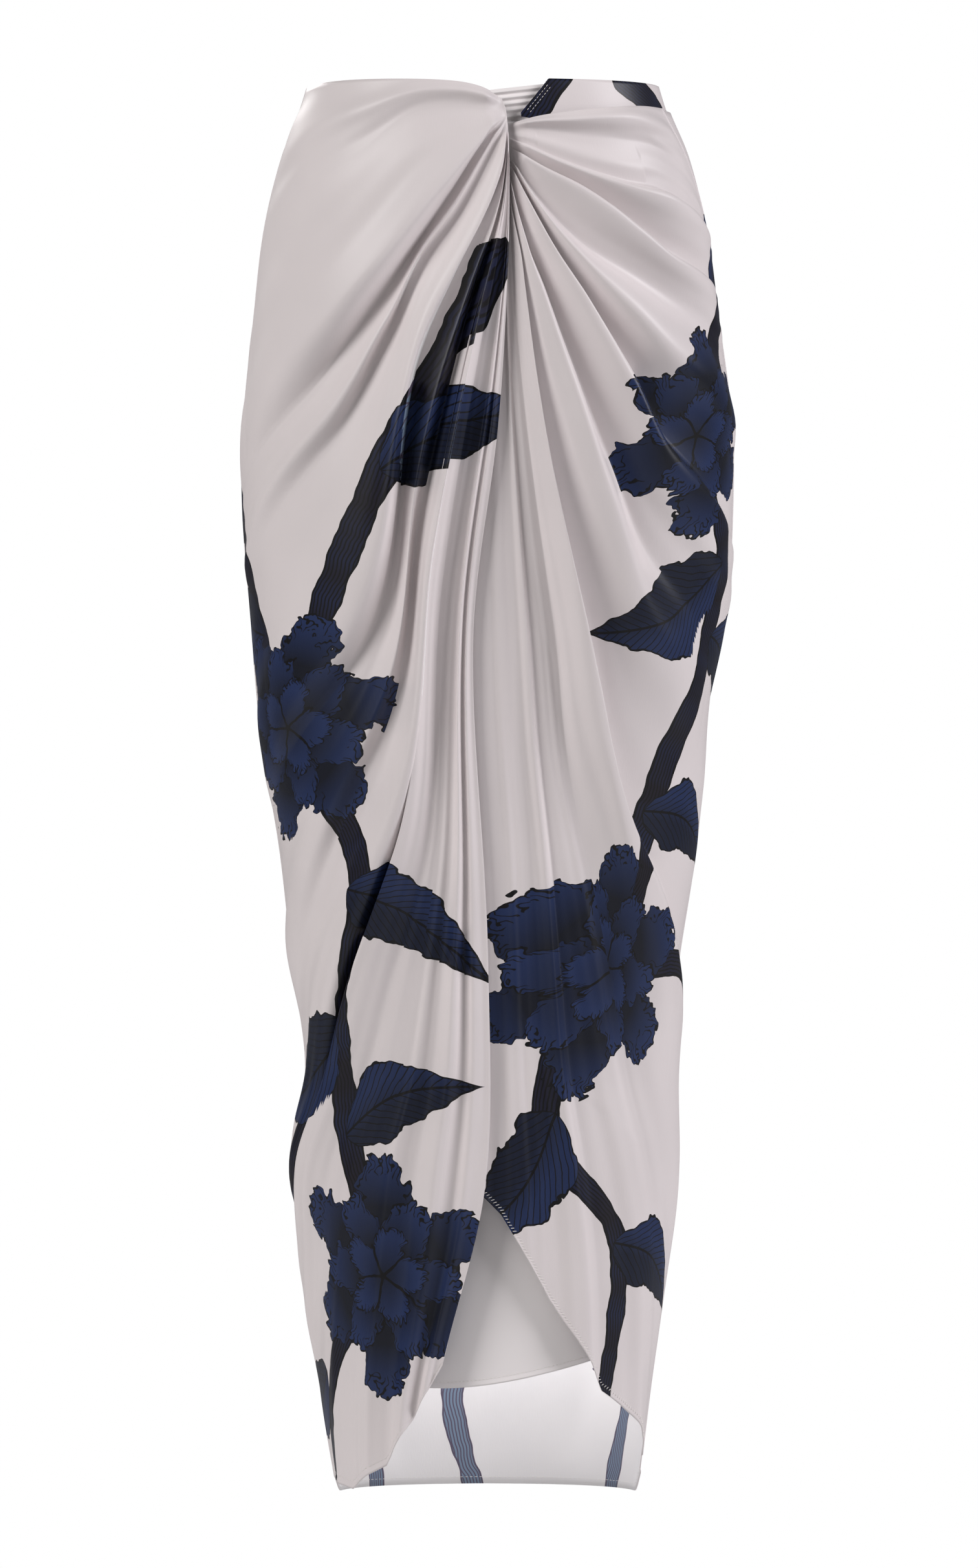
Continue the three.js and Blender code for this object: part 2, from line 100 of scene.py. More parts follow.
# Creases of the under wrap, from its hidden edge round to its top edge, in the same columns.
LEFT_CREASES = (
    (((4.2, -69), (-1.5, -158), (-8, -270), (-13, -394), (-12, -580), (-10, -738)), (0, 1, 1), 0.5, 0),
    (((4.5, -65), (1.6, -151), (0, -257), (-0.6, -381), (2.6, -558), (4, -770)), (0, 1, 2), 0.5, 0),
    (((4.8, -62), (3.6, -150), (4.2, -257), (6.2, -381), (12, -558), (20, -829)), (1, 4, 6), 0.6, 1),
    (((5, -60), (5.2, -149), (6.8, -252), (10.4, -372), (19, -553), (42, -892)), (0, 1, 2), 0.5, 0),
    (((5.2, -58), (6.4, -142), (9.6, -250), (16, -372), (28, -530), (90, -941)), (5, 24, 10), 0.86, 3.5),
    (((5.3, -56), (7.4, -133), (12.5, -250), (25, -390), (40, -500), (90, -631)), (8, 24, 4), 0.74, 2),
    (((5.4, -52), (9.5, -102), (13.7, -132), (19.5, -181), (28, -250), (42, -325), (90, -415)), (12, 28, 3), 0.84, 3),
    (((5.5, -46), (10, -72), (16.3, -109), (23, -138), (32.5, -184), (44, -240), (90, -318)), (5, 28, 3), 0.62, 0),
    (((5.5, -41), (12.5, -70), (24, -103), (38, -125), (54, -147), (90, -190)), (12, 28, 2), 0.84, 3),
    (((5.5, -36), (15, -51), (23.9, -63), (31, -75), (38.4, -90), (50, -109), (90, -136)), (12, 32, 2), 0.8, 3),
    (((5.5, -30.5), (12.3, -38), (19.5, -46), (29.5, -55), (39, -61), (52, -66), (89, -104)), (1, 2, 1), 0.5, 0),
    (((5.5, -27), (15, -27), (27, -31), (40, -33), (55, -38), (84, -70)), (8, 16, 3), 0.72, 1),
    (((5.5, -22.5), (15, -16.5), (26, -12.5), (40, -9), (54, -7), (70, -7)), (0, 0, 0), 0.5, 0),
)
RIGHT_HEM_FOLD, LEFT_HEM_FOLDS = 7, 4
SHALLOW, FLOOR_POWER = 12, 1.7
TALL_SHARES = (0, 0.42, 0.88)
TWIST_DIVE = 4.5
TWIST_REACH = 14
OVERLAP_LIFT = 6
LIFT_START, LIFT_FULL = -75, -25
ROW_CROWDING = 1.2

# Soft drag folds of the back. Columns: from (turn, z), to (turn, z), width, height.
BACK_RIDGES = (
    ((118, -80), (152, -250), 12, 6),
    ((244, -96), (214, -270), 13, 6),
    ((104, -150), (168, -420), 15, 9),
    ((256, -190), (196, -470), 17, 9),
    ((108, -330), (160, -640), 17, 10),
    ((252, -360), (204, -700), 16, 11),
    ((112, -560), (146, -930), 15, 9),
    ((248, -600), (214, -940), 15, 10),
    ((180, -620), (182, -960), 14, 8),
)
RIDGE_END_SHARE, RIDGE_END_FADE = 0.15, 0.4
CORNER_RISE, CORNER_SHARE = 13, 0.07

UNDERLAP_TURNS = (-48, 87.5)
UNDERLAP_TOP, UNDERLAP_SEAM_HEM, UNDERLAP_LOW_HEM, UNDERLAP_LOW_SHARE = -27, -858, -890, 0.22
UNDERLAP_DEPTH, UNDERLAP_SEAM_DEPTH, UNDERLAP_SEAM_REACH = 11.1, 2.9, 18

BAND_TIP_TURN, BAND_TIP_TOP, BAND_TIP_LOW, BAND_PEAK_TURN = 10, -14, -17, 20
BAND_FOOT_START, BAND_FOOT_END, BAND_FOOT_CLEAR, BAND_FOOT_LOW = 20, 56, 66, -22
BAND_INSET_FRONT, BAND_INSET_BACK, BAND_INSET_TURNS = 2.7, 0.6, (76, 120)
BAND_CROWDING = 1.25
TUCK_PLEATS, TUCK_TALL, TUCK_INSET = 6, 1.5, 8.7
TUCK_INNER_TURN, TUCK_INNER_TOP, TUCK_INNER_LOW = -4, 1, -27
TUCK_TOP_TURN, TUCK_OUTER_TOP, TUCK_LOW_TURN, TUCK_OUTER_LOW = 25, 8, 15, -20

# Fineness of the meshes as rows and columns. Each inner side has every third row of its outer side.
RIGHT_COLUMNS, LEFT_COLUMNS, FOLD_COLUMNS_LEAST, FOLD_ROWS = 270, 270, 10, 228
INNER_STEP, HEM_ROWS = 3, 3
BACK_GRID, UNDERLAP_GRID, BAND_GRID, TUCK_GRID = (198, 180), (120, 120), (15, 360), (48, 96)
FOLD_HEM_SHARE, PANEL_HEM_SHARE, HEM_TALL = 0.006, 0.005, 0.5

# The drawn pattern, in millimetres of cloth: across is measured round the form from the middle of the
# front, and z is the height. Blossoms: across, z, radius, turn, squash.
RIGHT_BLOOMS = ((-124, -436, 88, 25, 0.85), (-72, -812, 82, 100, 0.9))
LEFT_BLOOMS = ((122, -232, 76, 40, 0.88), (60, -606, 84, 280, 0.88))
BACK_BLOOMS = (
    (268, -262, 84, 10, 0.9), (420, -150, 64, 80, 0.85), (520, -430, 86, 150, 0.9),
    (356, -560, 88, 220, 0.85), (488, -800, 76, 300, 0.9), (262, -846, 70, 30, 0.85),
)
# Leaves: across and z of the stalk, length, direction in degrees.
RIGHT_LEAVES = (
    (-46, -262, 116, 20), (-150, -372, 110, 150), (-84, -548, 116, 325), (-100, -640, 136, 205),
    (-96, -716, 100, 20), (-150, -880, 100, 200),
)
LEFT_LEAVES = (
    (146, -322, 130, 205), (150, -372, 120, 325), (100, -492, 104, 335), (46, -700, 120, 232),
    (92, -790, 104, 330), (176, -142, 90, 60),
)
BACK_LEAVES = (
    (300, -120, 120, 250), (450, -300, 120, 280), (330, -400, 130, 320), (570, -560, 120, 240),
    (250, -600, 120, 290), (430, -680, 110, 310), (540, -170, 110, 250),
)
# Stems: half width at the root and at the tip, and the points that they pass through.
RIGHT_STEMS = (
    (12, 10, ((-212, -230), (-176, -330), (-124, -436), (-72, -540), (-100, -660), (-72, -812))),
    (11, 9, ((9, -110), (-14, -190), (-62, -300), (-124, -436))),
    (10, 7, ((-72, -812), (-134, -880), (-180, -985))),
    (9, 8, ((-100, -660), (-160, -720), (-206, -810))),
)
LEFT_STEMS = (
    (11, 11, ((208, -100), (164, -160), (122, -232), (150, -340), (112, -470), (60, -606))),
    (10, 7, ((60, -606), (40, -716), (98, -800), (84, -985))),
    (9, 10, ((208, -650), (150, -600), (60, -606))),
)
BACK_STEMS = (
    (11, 9, ((198, -120), (268, -262), (244, -420), (356, -560), (300, -700), (262, -846), (280, -985))),
    (10, 10, ((420, 0), (420, -150), (470, -300), (520, -430), (450, -520), (356, -560))),
    (11, 8, ((594, -300), (520, -430), (570, -560), (524, -680), (488, -800), (500, -985))),
    (9, 9, ((356, -560), (330, -700), (388, -820), (424, -900), (404, -985))),
)
BAND_STEMS = ((11, 11, ((20, -24), (36, -4), (54, 18))), (13, 13, ((104, 16), (140, -4), (162, -16))))
LEAF_BEND = 0.12
LINE_CHUNK = 20000

# Rings of a blossom from the outside in. Columns: petals, reach, depth of the clefts, turn.
PETAL_RINGS = ((6, 1.0, 0.42, 0.0), (6, 0.7, 0.4, 3.14), (5, 0.4, 0.35, 1.0))
VEINS_ROUND, RUFFLES_ROUND = 84, 19

# Rows of stitches. Columns: length, thickness, spacing, slant in degrees.
OVERLOCK, RUNNING, FINE_RUNNING = (3.2, 0.5, 2.4, 62), (2.4, 0.3, 3.4, 0), (1.9, 0.35, 2.7, 0)
THREAD_PROUD = 0.05
BAND_STITCH_INSETS = (2.2, 4.6)

CAMERA_DISTANCE = 6.0
CAMERA_X, CAMERA_Z = 0.00045, -0.4744
FRAME_HEIGHT = 2423 * 0.45 * MM

ATTRIBUTE, SEPARATE, NOISE = "ShaderNodeAttribute", "ShaderNodeSeparateXYZ", "ShaderNodeTexNoise"
MATH, VECTOR_MATH, MIX, RANGE = "ShaderNodeMath", "ShaderNodeVectorMath", "ShaderNodeMix", "ShaderNodeMapRange"


def linear(hex_colour):
    """Linear colour of an sRGB hex value."""
    shares = [int(hex_colour[i:i + 2], 16) / 255 for i in (1, 3, 5)]
    return (*[s / 12.92 if s <= 0.04045 else ((s + 0.055) / 1.055) ** 2.4 for s in shares], 1.0)


def colour_property(name, description, hex_colour):
    return FloatVectorProperty(name=name, description=description, subtype="COLOR", size=4,
                               min=0, max=1, default=linear(hex_colour))


class SkirtCloth(bpy.types.PropertyGroup):
    thickness: FloatProperty(name="Cloth thickness", description="Thickness of the satin",
                             default=0.8 * MM, min=0.4 * MM, max=1.2 * MM, unit="LENGTH")
    fold_share: FloatProperty(name="Fold height", description="Height of the folds against their own sizes",
                              default=1.0, min=0, max=1.15, subtype="FACTOR")
    ripple_share: FloatProperty(name="Ripples", description="Height of the small ripples along the folds",
                                default=0.1, min=0, max=0.3, subtype="FACTOR")
    hidden_share: FloatProperty(name="Hidden cloth", description="Cloth tucked into a crease against its height",
                                default=1.1, min=0, max=3)


class SkirtColours(bpy.types.PropertyGroup):
    ground: colour_property("Ground", "Pale ground of the face", "#DED6D6")
    wrong: colour_property("Wrong side", "Ground of the cloth's wrong side", "#E9E6E6")
    plain: colour_property("Underlap", "Plain inner wrap", "#DDD2CE")
    petal: colour_property("Petal", "Bluest part of a petal", "#202E54")
    petal_dark: colour_property("Petal shade", "Darkest part of a petal", "#10131F")
    drawn_line: colour_property("Drawn line", "Outlines and veins", "#07060A")
    stem: colour_property("Stem", "Ribbon stems", "#17131F")
    faded: colour_property("Faded print", "The print seen through the wrong side", "#74859A")
    faded_line: colour_property("Faded line", "Its outlines", "#5A5264")
    thread: colour_property("Thread", "Pale sewing thread", "#E4E0DC")


class SkirtStudio(bpy.types.PropertyGroup):
    key_power: FloatProperty(name="Key light", description="Large soft light from the upper left",
                             default=312, min=0, unit="POWER")
    fill_power: FloatProperty(name="Fill light", description="Soft light from the right",
                              default=305, min=0, unit="POWER")
    rear_power: FloatProperty(name="Rear light", description="Soft light on the back",
                              default=190, min=0, unit="POWER")
    inside_power: FloatProperty(name="Inside light", description="Light that the thin cloth lets into the hem",
                                default=0.31, min=0, unit="POWER")
    room_light: FloatProperty(name="Room light", description="Light of the white room",
                              default=0.1, min=0, max=1)


def smooth(knots, values, at):
    """Smooth curve through values at rising knots, for a whole array of places."""
    knots, values = np.asarray(knots, float), np.asarray(values, float)
    slopes = np.empty_like(values)
    slopes[1:-1] = (values[2:] - values[:-2]) / (knots[2:] - knots[:-2])
    slopes[0] = (values[1] - values[0]) / (knots[1] - knots[0])
    slopes[-1] = (values[-1] - values[-2]) / (knots[-1] - knots[-2])
    place = np.clip(at, knots[0], knots[-1])
    k = np.clip(np.searchsorted(knots, place, side="right") - 1, 0, len(knots) - 2)
    step = knots[k + 1] - knots[k]
    u = (place - knots[k]) / step
    rise = values[k + 1] - values[k]
    start, end = slopes[k] * step, slopes[k + 1] * step
    return values[k] + u * (start + u * (3 * rise - 2 * start - end + u * (start + end - 2 * rise)))


def ease(at, low, high):
    """Smooth step from 0 at low to 1 at high."""
    share = np.clip((at - low) / (high - low), 0, 1)
    return share * share * (3 - 2 * share)


def mix(a, b, share):
    return a + (b - a) * share


def half_size(column, z):
    table = np.array(SECTIONS, float)
    return smooth(table[:, Z], table[:, column], z)


def on_form(turn, z, out):
    """Points of the form in metres at turns and heights, moved out by millimetres."""
    angle = np.radians(turn)
    across, ahead = np.sin(angle), np.cos(angle)
    wide = np.where(across < 0, half_size(LEFT, z), half_size(RIGHT, z))
    deep = np.where(ahead > 0, half_size(FRONT, z), half_size(BACK, z))
    full = 1 + SQUARENESS * np.sin(2 * angle) ** 2
    nx, ny = across / wide, -ahead / deep
    length = np.hypot(nx, ny)
    x = wide * across * full + out * nx / length
    y = -deep * ahead * full + out * ny / length
    return np.stack([x, y, z + 0 * turn], axis=-1) * MM


def right_seam_turn(z):
    return np.interp(z, [row[0] for row in SEAM_LEAN], [row[1] for row in SEAM_LEAN])


def calm_by_seam(turn, z):
    return ease(np.minimum(turn + SIDE, right_seam_turn(z) - turn), 0, SEAM_CALM)


def crease_line(path, s):
    """Turns and heights at the shares s of a crease's length, and that length."""
    turns, heights = np.array(path, float).T
    spans = np.hypot(np.diff(turns) * MM_PER_DEGREE, np.diff(heights))
    knots = np.concatenate([[0], np.cumsum(spans)])
    return smooth(knots, turns, s * knots[-1]), smooth(knots, heights, s * knots[-1]), knots[-1]


def fold_shape(f, crest):
    """Height share across one fold: a long side that rises from a flat floor, a round crest, a steep side."""
    rise, fall = f / crest, (1 - f) / (1 - crest)
    rise = np.where(crest < 0.5, rise, rise ** FLOOR_POWER)
    fall = np.where(crest < 0.5, fall ** FLOOR_POWER, fall)
    foot = 1 + ease(np.abs(crest - 0.5), 0.3, 0.15)
    return np.sin(np.pi / 2 * np.where(f < crest, rise, fall)) ** foot


def fold_columns(creases, columns):
    """The fold of each mesh column and its share across that fold, with more columns in wider folds."""
    ends = np.array([[row[0][-1][0] * MM_PER_DEGREE, row[0][-1][1]] for row in creases])
    widths = np.hypot(*np.diff(ends, axis=0).T)
    spare = columns - FOLD_COLUMNS_LEAST * len(widths)
    counts = FOLD_COLUMNS_LEAST + np.floor(spare * widths / widths.sum()).astype(int)
    fold = np.repeat(np.arange(len(counts)), counts)
    f = np.concatenate([np.arange(count) / count for count in counts] + [[1.0]])
    return np.append(fold, len(counts) - 1), f


def rows_with_hem(rows, crowding, hem_share):
    """Shares from start to hem, with the last few rows close together for the turned hem."""
    plain = rows - HEM_ROWS
    body = (np.arange(plain + 1) / plain) ** crowding * (1 - hem_share)
    return np.concatenate([body, 1 - hem_share * (1 - np.arange(1, HEM_ROWS + 1) / HEM_ROWS)])


def gathered(creases, columns, cloth, seed):
    """A panel whose folds fan out from the twist: places, lift off the form, lean and cloth coordinates."""
    s = rows_with_hem(FOLD_ROWS, ROW_CROWDING, FOLD_HEM_SHARE)
    fold, f = fold_columns(creases, columns)
    lines = [crease_line(row[0], s) for row in creases]
    turns = np.stack([line[0] for line in lines], axis=1)
    heights = np.stack([line[1] for line in lines], axis=1)
    lengths = np.array([line[2] for line in lines])
    turn = mix(turns[:, fold], turns[:, fold + 1], f)
    z = mix(heights[:, fold], heights[:, fold + 1], f)
    width = np.hypot((turns[:, fold + 1] - turns[:, fold]) * MM_PER_DEGREE,
                     heights[:, fold + 1] - heights[:, fold])
    talls = np.stack([smooth(TALL_SHARES, row[1], s) for row in creases[:-1]], axis=1)
    tall = talls[:, fold]
    height = tall * width / (tall + width + 2) * cloth.fold_share
    risen = ease(s[:, None] * mix(lengths[fold], lengths[fold + 1], f), 0, TWIST_REACH)
    calm = calm_by_seam(turn, z) * risen
    shape, ripple = worn_folds(creases, fold, f, s[:, None], width, seed)
    hem = HEM_TALL * (s[:, None] > 1 - FOLD_HEM_SHARE / 2)
    relief = (height * shape + ripple * cloth.ripple_share) * calm - TWIST_DIVE * (1 - risen) + hem
    leans = np.array([row[3] for row in creases])[fold]
    side = leans * shape * ease(width, 8, 30) * calm / MM_PER_DEGREE
    hidden = np.maximum(talls - SHALLOW, 0) * cloth.hidden_share
    place = cloth_places(turns, heights, hidden, fold, f)
    return {"turn": turn, "z": z, "out": relief, "side": side, "place": place, "fold": fold[:-1]}


def worn_folds(creases, fold, f, s, width, seed):
    """Shape of each fold, whose crest wanders, and the small ripples that worn satin keeps."""
    phase = np.random.default_rng(seed).uniform(0, 2 * np.pi, (4, len(creases) - 1))[:, fold]
    crest = np.array([row[2] for row in creases])[fold]
    wander = 0.03 * np.sin(2 * np.pi * 1.3 * s + phase[0])
    shape = fold_shape(f, np.clip(crest + wander, 0.1, 0.9))
    ripple = (np.sin(2 * np.pi * (1.5 * f + 0.7 * s) + phase[1])
              + 0.6 * np.sin(2 * np.pi * (3.1 * f - 1.1 * s) + phase[2]))
    return shape, ripple * np.sin(np.pi * f) * 7 * ease(width, 12, 60) * ease(s, 0.02, 0.3)


def cloth_places(turns, heights, hidden, fold, f):
    """Cloth coordinates for each fold's own columns, which jump at each crease by the cloth hidden in it."""
    across = turns * MM_PER_DEGREE
    run = np.stack([np.gradient(across, axis=0), np.gradient(heights, axis=0)], axis=-1)
    run /= np.linalg.norm(run, axis=-1, keepdims=True) + 1e-9
    side = np.stack([-run[..., 1], run[..., 0]], axis=-1)
    total = np.cumsum(hidden, axis=1)
    jump = (total - total[:, -1:] / 2)[..., None] * (side[:, :-1] + side[:, 1:]) / 2
    start = np.stack([across, heights], axis=-1)
    blocks = []
    for k in range(hidden.shape[1]):
        share = np.append(f[:-1][fold[:-1] == k], 1.0)[:, None]
        blocks.append(mix(start[:, k, None], start[:, k + 1, None], share) + jump[:, k, None])
    return np.concatenate(blocks, axis=1)


def plain_grid(turn, z, out):
    """A panel with no gathers, in one fold."""
    place = np.stack([turn * MM_PER_DEGREE, z], axis=-1)
    return {"turn": turn, "z": z, "out": out, "side": 0 * turn, "place": place,
            "fold": np.zeros(turn.shape[1] - 1, dtype=int)}


def right_front_grid(cloth):
    grid = gathered(RIGHT_CREASES, RIGHT_COLUMNS, cloth, 7)
    grid["out"] = grid["out"] + OVERLAP_LIFT * ease(grid["turn"], LIFT_START, LIFT_FULL)
    return grid


def left_front_grid(cloth):
    return gathered(LEFT_CREASES, LEFT_COLUMNS, cloth, 11)


def shares(size, hem_share=0.0):
    """Shares down and round a plain panel."""
    rows, columns = size
    down = rows_with_hem(rows, 1.0, hem_share) if hem_share else np.arange(rows + 1) / rows
    return np.meshgrid(down, np.arange(columns + 1) / columns, indexing="ij")


def ridge_height(ridge, turn, z):
    """Height of one drag fold of the back, which fades past its ends."""
    start, end, wide, tall = ridge
    along_turn, along_z = (end[0] - start[0]) * MM_PER_DEGREE, end[1] - start[1]
    length = math.hypot(along_turn, along_z)
    x, y = (turn - start[0]) * MM_PER_DEGREE, z - start[1]
    share = np.clip((x * along_turn + y * along_z) / length ** 2, 0, 1)
    away = np.hypot(x - share * along_turn, y - share * along_z)
    wave = np.sin(np.pi * np.minimum(share + RIDGE_END_SHARE, 1 - RIDGE_END_SHARE))
    fade = wave * mix(RIDGE_END_FADE, 1, np.sin(np.pi * share))
    return tall * fade * np.exp(-((away / wide) ** 2))


def back_grid(cloth):
    down, round_ = shares(BACK_GRID, PANEL_HEM_SHARE)
    gap = SEAM_GAP / MM_PER_DEGREE
    low = HEM + CORNER_RISE * (1 - ease(np.minimum(round_, 1 - round_), 0, CORNER_SHARE))
    z = mix(BAND_BOTTOM - SEAM_GAP, low, down)
    start = right_seam_turn(z) + gap
    turn = mix(start, BACK_END - gap, round_)
    calm = ease(np.minimum(turn - start, BACK_END - gap - turn), 0, 2 * SEAM_CALM)
    relief = sum(ridge_height(ridge, turn, z) for ridge in BACK_RIDGES)
    hem = HEM_TALL * (down > 1 - PANEL_HEM_SHARE / 2)
    return plain_grid(turn, z, relief * calm * cloth.fold_share + hem)


def underlap_grid(cloth):
    down, round_ = shares(UNDERLAP_GRID, PANEL_HEM_SHARE)
    low = mix(UNDERLAP_LOW_HEM, UNDERLAP_SEAM_HEM, ease(round_, UNDERLAP_LOW_SHARE, 1))
    z = mix(UNDERLAP_TOP, low, down)
    end = right_seam_turn(z) + UNDERLAP_TURNS[1] - SIDE
    turn = mix(UNDERLAP_TURNS[0], end, round_)
    sewn = ease(end - turn, 0, UNDERLAP_SEAM_REACH)
    hem = HEM_TALL * (down > 1 - PANEL_HEM_SHARE / 2)
    return plain_grid(turn, z, hem - mix(UNDERLAP_SEAM_DEPTH, UNDERLAP_DEPTH, sewn))


def waistband_grid(cloth):
    down, round_ = shares(BAND_GRID)
    turn = mix(BAND_TIP_TURN, BACK_END - SEAM_GAP / MM_PER_DEGREE, round_ ** BAND_CROWDING)
    rise = np.clip((turn - BAND_TIP_TURN) / (BAND_PEAK_TURN - BAND_TIP_TURN), 0, 1)
    top = mix(BAND_TIP_TOP, WAIST_TOP, rise)
    foot = mix(BAND_TIP_LOW, BAND_FOOT_LOW, ease(turn, BAND_TIP_TURN, BAND_FOOT_START))
    bottom = mix(foot, BAND_BOTTOM, ease(turn, BAND_FOOT_END, BAND_FOOT_CLEAR))
    inset = mix(BAND_INSET_FRONT, BAND_INSET_BACK, ease(turn, *BAND_INSET_TURNS))
    return plain_grid(turn, mix(top, bottom, down), -inset)


def waist_tuck_grid(cloth):
    outward, down = shares(TUCK_GRID)
    inner_z = mix(TUCK_INNER_TOP, TUCK_INNER_LOW, down)
    outer_z = mix(TUCK_OUTER_TOP, TUCK_OUTER_LOW, down)
    outer_turn = mix(TUCK_TOP_TURN, TUCK_LOW_TURN, down)
    pleat = (1 - np.cos(2 * np.pi * TUCK_PLEATS * down)) / 2
    turn = mix(TUCK_INNER_TURN, outer_turn, outward)
    return plain_grid(turn, mix(inner_z, outer_z, outward), pleat * TUCK_TALL - TUCK_INSET)


def quad_corners(rows, columns):
    """Row and column of the four corners of every face of a grid."""
    i, j = (a.ravel() for a in np.meshgrid(np.arange(rows), np.arange(columns), indexing="ij"))
    return np.stack([i, i + 1, i + 1, i], axis=1), np.stack([j, j, j + 1, j + 1], axis=1)


def rim_faces(rows, columns, step):
    """Faces that close the cloth's edge between its outer grid and its coarser inner grid."""
    wide = columns + 1
    outer = np.arange((rows + 1) * wide).reshape(rows + 1, wide)
    inner = outer.size + np.arange((rows // step + 1) * wide).reshape(-1, wide)
    rims = [[outer[0, j], outer[0, j + 1], inner[0, j + 1], inner[0, j]] for j in range(columns)]
    rims += [[outer[-1, j + 1], outer[-1, j], inner[-1, j], inner[-1, j + 1]] for j in range(columns)]
    for i in range(rows // step):
        run = slice(i * step, (i + 1) * step + 1)
        rims.append([*outer[run, 0][::-1], inner[i, 0], inner[i + 1, 0]])
        rims.append([*outer[run, -1], inner[i + 1, -1], inner[i, -1]])
    return rims


def cloth_object(name, grid, thick, materials, motifs=None):
    """A closed thin sheet with a face and a wrong side, and the drawn pattern's places at its corners."""
    rows, columns = grid["turn"].shape[0] - 1, grid["turn"].shape[1] - 1
    turn, z, out = grid["turn"] + grid["side"], grid["z"], grid["out"]
    every = slice(None, None, INNER_STEP)
    layers = (on_form(turn, z, out), on_form(turn[every], z[every], out[every] - thick / MM))
    points = np.concatenate([layer.reshape(-1, 3) for layer in layers])
    row, column = quad_corners(rows, columns)
    inner_row, inner_column = (a[:, ::-1] for a in quad_corners(rows // INNER_STEP, columns))
    faces = row * (columns + 1) + column
    lining = turn.size + inner_row * (columns + 1) + inner_column
    corners = faces.tolist() + lining.tolist() + rim_faces(rows, columns, INNER_STEP)
    flip = -1 if facing_in(points, faces) else 1
    mesh = bpy.data.meshes.new(name)
    mesh.from_pydata(points.tolist(), [], [face[::flip] for face in corners])
    for material in materials:
        mesh.materials.append(material)
    side_of = np.zeros(len(corners), dtype=np.int32)
    side_of[len(faces):len(faces) + len(lining)] = len(materials) - 1
    mesh.polygons.foreach_set("material_index", side_of)
    mesh.shade_smooth()
    lining_place = corner_places(grid, inner_row * INNER_STEP, inner_column)
    place = np.concatenate([corner_places(grid, row, column), lining_place])
    write_pattern(mesh, place[:, ::flip], motifs)
    obj = bpy.data.objects.new(name, mesh)
    bpy.context.collection.objects.link(obj)
    return obj


def corner_places(grid, row, column):
    """Cloth coordinates of face corners, each in the columns of its own face's fold."""
    fold = grid["fold"][column.min(axis=1)]
    return grid["place"][row, column + fold[:, None]]


def facing_in(points, faces):
    """True if the faces' corners run so that they face the middle of the skirt."""
    a, b, c = (points[faces[:, k]] for k in range(3))
    return np.sum(np.cross(b - a, c - a)[:, :2] * a[:, :2]) < 0


def write_pattern(mesh, place, motifs):
    """Stores cloth coordinates and the place inside the nearest motif of each kind at every face corner."""
    layers = {"cloth": np.concatenate([place, 0 * place[..., :1]], axis=-1)}
    kinds = (("bloom", bloom_place), ("leaf", leaf_place), ("stem", stem_place))
    for (name, locate), rows in zip(kinds, motifs or ()):
        if rows:
            layers[name] = nearest_place(place, rows, locate)
    for name, values in layers.items():
        full = np.full((len(mesh.loops), 3), -1000.0, dtype=np.float32)
        full[:len(values) * 4] = values.reshape(-1, 3)
        mesh.attributes.new(name, "FLOAT_VECTOR", "CORNER").data.foreach_set("vector", full.ravel())


def nearest_place(place, rows, locate):
    """Each face's corners in the coordinates of the motif that its middle lies deepest in."""
    flat = place.reshape(-1, 2)
    found = [locate(flat, row) for row in rows]
    depth = np.stack([inside.reshape(-1, 4).mean(axis=1) for _, inside in found])
    chosen = np.argmax(depth, axis=0)
    local = np.stack([values.reshape(-1, 4, 3) for values, _ in found])
    return local[chosen, np.arange(len(chosen))]


def turned(flat, x, y, degrees):
    angle = math.radians(degrees)
    dx, dy = flat[:, 0] - x, flat[:, 1] - y
    return dx * math.cos(angle) + dy * math.sin(angle), dy * math.cos(angle) - dx * math.sin(angle)


def bloom_place(flat, row):
    """Coordinates from a blossom's middle, with its radius, and how far inside it they are."""
    x, z, radius, degrees, squash = row
    along, across = turned(flat, x, z, degrees)
    across = across / squash
    return np.stack([along, across, 0 * along + radius], axis=1), radius - np.hypot(along, across)


def leaf_place(flat, row):
    """Coordinates along and across a leaf that bends a little, with its length."""
    x, z, length, degrees = row
    along, across = turned(flat, x, z, degrees)
    across = across - LEAF_BEND * length * np.sin(np.pi * np.clip(along / length, 0, 1))
    off = np.hypot(np.clip(along, 0, length) - along, across)
    return np.stack([along, across, 0 * along + length], axis=1), -off


def stem_place(flat, row):
    """Coordinates across and along a ribbon stem, with its half width there."""
    root, tip, points = row
    knots = np.arange(len(points))
    fine = np.linspace(0, knots[-1], 24 * len(points))
    line = np.stack([smooth(knots, [p[k] for p in points], fine) for k in (0, 1)], axis=1)
    step = np.gradient(line, axis=0)
    step /= np.linalg.norm(step, axis=1, keepdims=True)
    length = np.concatenate([[0], np.cumsum(np.linalg.norm(np.diff(line, axis=0), axis=1))])
    nearest = np.empty(len(flat), dtype=int)
    for start in range(0, len(flat), LINE_CHUNK):
        part = flat[start:start + LINE_CHUNK]
        away = (part[:, :1] - line[:, 0]) ** 2 + (part[:, 1:] - line[:, 1]) ** 2
        nearest[start:start + LINE_CHUNK] = np.argmin(away, axis=1)
    off = flat - line[nearest]
    across = step[nearest, 0] * off[:, 1] - step[nearest, 1] * off[:, 0]
    along = length[nearest] + np.sum(step[nearest] * off, axis=1)
    past = np.maximum(0, np.maximum(-along, along - length[-1]))
    half = mix(root, tip, along / length[-1]) - past
    return np.stack([across, along, half], axis=1), half - np.abs(across)


